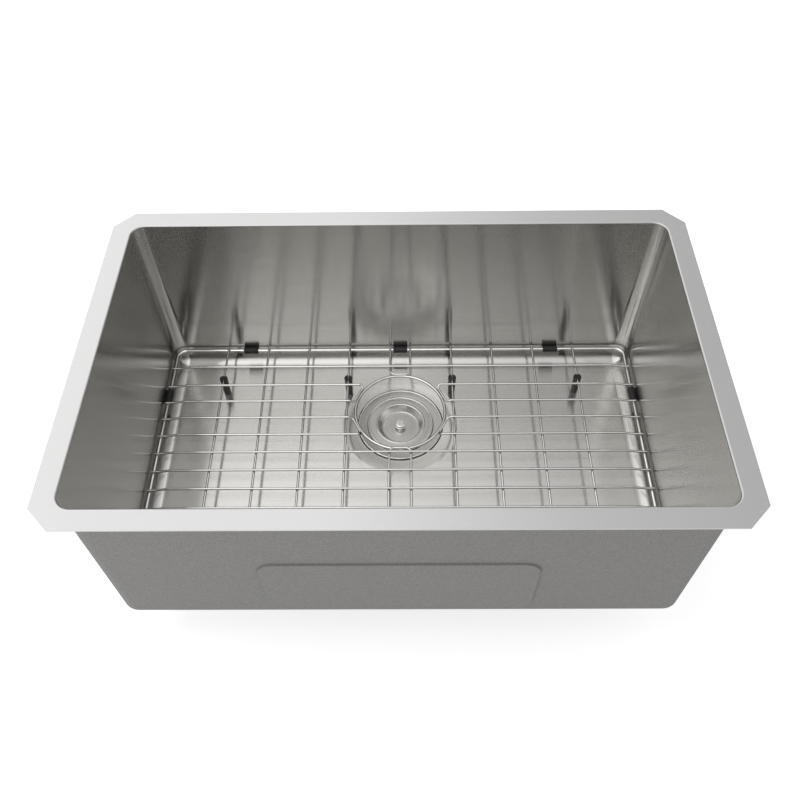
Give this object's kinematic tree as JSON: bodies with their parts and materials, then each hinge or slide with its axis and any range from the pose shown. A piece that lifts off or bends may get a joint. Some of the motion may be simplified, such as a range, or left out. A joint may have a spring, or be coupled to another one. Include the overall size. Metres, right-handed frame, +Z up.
{
  "type": "undermount kitchen sink",
  "caption": "Deep rectangular undermount kitchen sink in brushed steel with a flat clipped-corner rim, a wire bottom grid on rubber feet and a basket strainer near the back.",
  "frame": {"origin": "centre of the bowl's opening, in the plane of the rim's top face", "axes": "+X along the bowl to the right, +Y to the back where the drain is, +Z up out of the bowl"},
  "size_m": [0.686, 0.43, 0.3241],
  "materials": {
    "bowl_steel": "brushed along the length of each face",
    "undercoat": "matte sprayed",
    "pad_rubber": "matte, under the sprayed coat",
    "strainer_steel": "satin turned",
    "basket_steel": "satin pressed",
    "knob_steel": "polished",
    "grid_wire": "electropolished",
    "black_rubber": "moulded",
    "fibre": "pressed fibre",
    "cast_zinc": "as cast",
    "brass": "turned"
  },
  "bodies": {
    "sink": {"flange_gasket": "black_rubber", "friction_ring": "fibre", "locknut": "cast_zinc", "sink_bowl": "bowl_steel", "sink_gasket": "black_rubber", "sound_pad_bottom_left": "pad_rubber", "sound_pad_bottom_right": "pad_rubber", "sound_pad_front": "pad_rubber", "sound_pad_left": "pad_rubber", "sound_pad_rear": "pad_rubber", "sound_pad_right": "pad_rubber", "strainer_body": "strainer_steel", "strainer_outlet": "strainer_steel", "strainer_spider": "strainer_steel", "undercoat": "undercoat"},
    "grid": {"cross_rod_1": "grid_wire", "cross_rod_2": "grid_wire", "cross_rod_3": "grid_wire", "cross_rod_4": "grid_wire", "cross_rod_5": "grid_wire", "cross_rod_6": "grid_wire", "cross_rod_7": "grid_wire", "cross_rod_8": "grid_wire", "drain_ring": "grid_wire", "front_bumpers": "black_rubber", "grid_foot_1": "black_rubber", "grid_foot_2": "black_rubber", "grid_foot_3": "black_rubber", "grid_foot_4": "black_rubber", "grid_foot_5": "black_rubber", "grid_foot_6": "black_rubber", "grid_foot_7": "black_rubber", "grid_foot_8": "black_rubber", "grid_frame": "grid_wire", "left_bumpers": "black_rubber", "long_rod_1": "grid_wire", "long_rod_2": "grid_wire", "long_rod_3": "grid_wire", "long_rod_4": "grid_wire", "long_rod_5": "grid_wire", "long_rod_6": "grid_wire", "long_rod_7": "grid_wire", "long_rod_8": "grid_wire", "middle_hairpin_front": "grid_wire", "middle_hairpin_rear": "grid_wire", "rear_bumpers": "black_rubber", "right_bumpers": "black_rubber", "side_hairpin_left_front": "grid_wire", "side_hairpin_left_rear": "grid_wire", "side_hairpin_right_front": "grid_wire", "side_hairpin_right_rear": "grid_wire"},
    "basket_pull": {"basket_knob": "knob_steel", "center_post": "knob_steel", "post_nut": "brass", "spring_catch": "knob_steel"},
    "basket_cup": {"basket_dish": "basket_steel", "basket_skirt": "basket_steel", "stopper_seal": "black_rubber"}
  },
  "joints": [
    {"name": "grid_lift", "type": "slide", "parent": "sink", "child": "grid", "axis": [0, 0, 1], "range_m": [0, 0.28]},
    {"name": "basket_lift", "type": "slide", "parent": "sink", "child": "basket_pull", "axis": [0, 0, 1], "range_m": [0, 0.33]},
    {"name": "basket_turn", "type": "hinge", "parent": "basket_pull", "child": "basket_cup", "pos_m": [0, 0.079, -0.2577], "axis": [0, 0, 1], "continuous": true}
  ]
}
